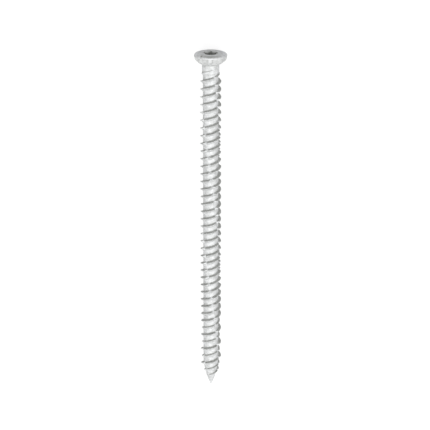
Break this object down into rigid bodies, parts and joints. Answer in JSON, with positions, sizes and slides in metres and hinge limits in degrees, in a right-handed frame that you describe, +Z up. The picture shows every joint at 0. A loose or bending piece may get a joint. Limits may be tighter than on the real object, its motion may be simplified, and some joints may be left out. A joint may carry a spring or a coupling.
{
  "type": "concrete screw",
  "caption": "Long self-tapping screw for concrete and masonry: flat head with milling pockets on its bowl-shaped underside, six-lobe socket and a coarse two-start notched thread down to a point.",
  "frame": {"origin": "on the ground under the middle of the screw as it lies at rest, on the rim of its head and the last full crests of its thread", "axes": "+Y along the screw towards its head, which leans up by about one degree; +Z up from the ground; +X to the right seen from above with the head away"},
  "size_m": [0.012, 0.132, 0.012],
  "materials": {
    "zinc_plated_steel": "matte bright zinc plating on rolled steel"
  },
  "bodies": {
    "root": {"concrete_screw": "zinc_plated_steel"}
  },
  "joints": []
}
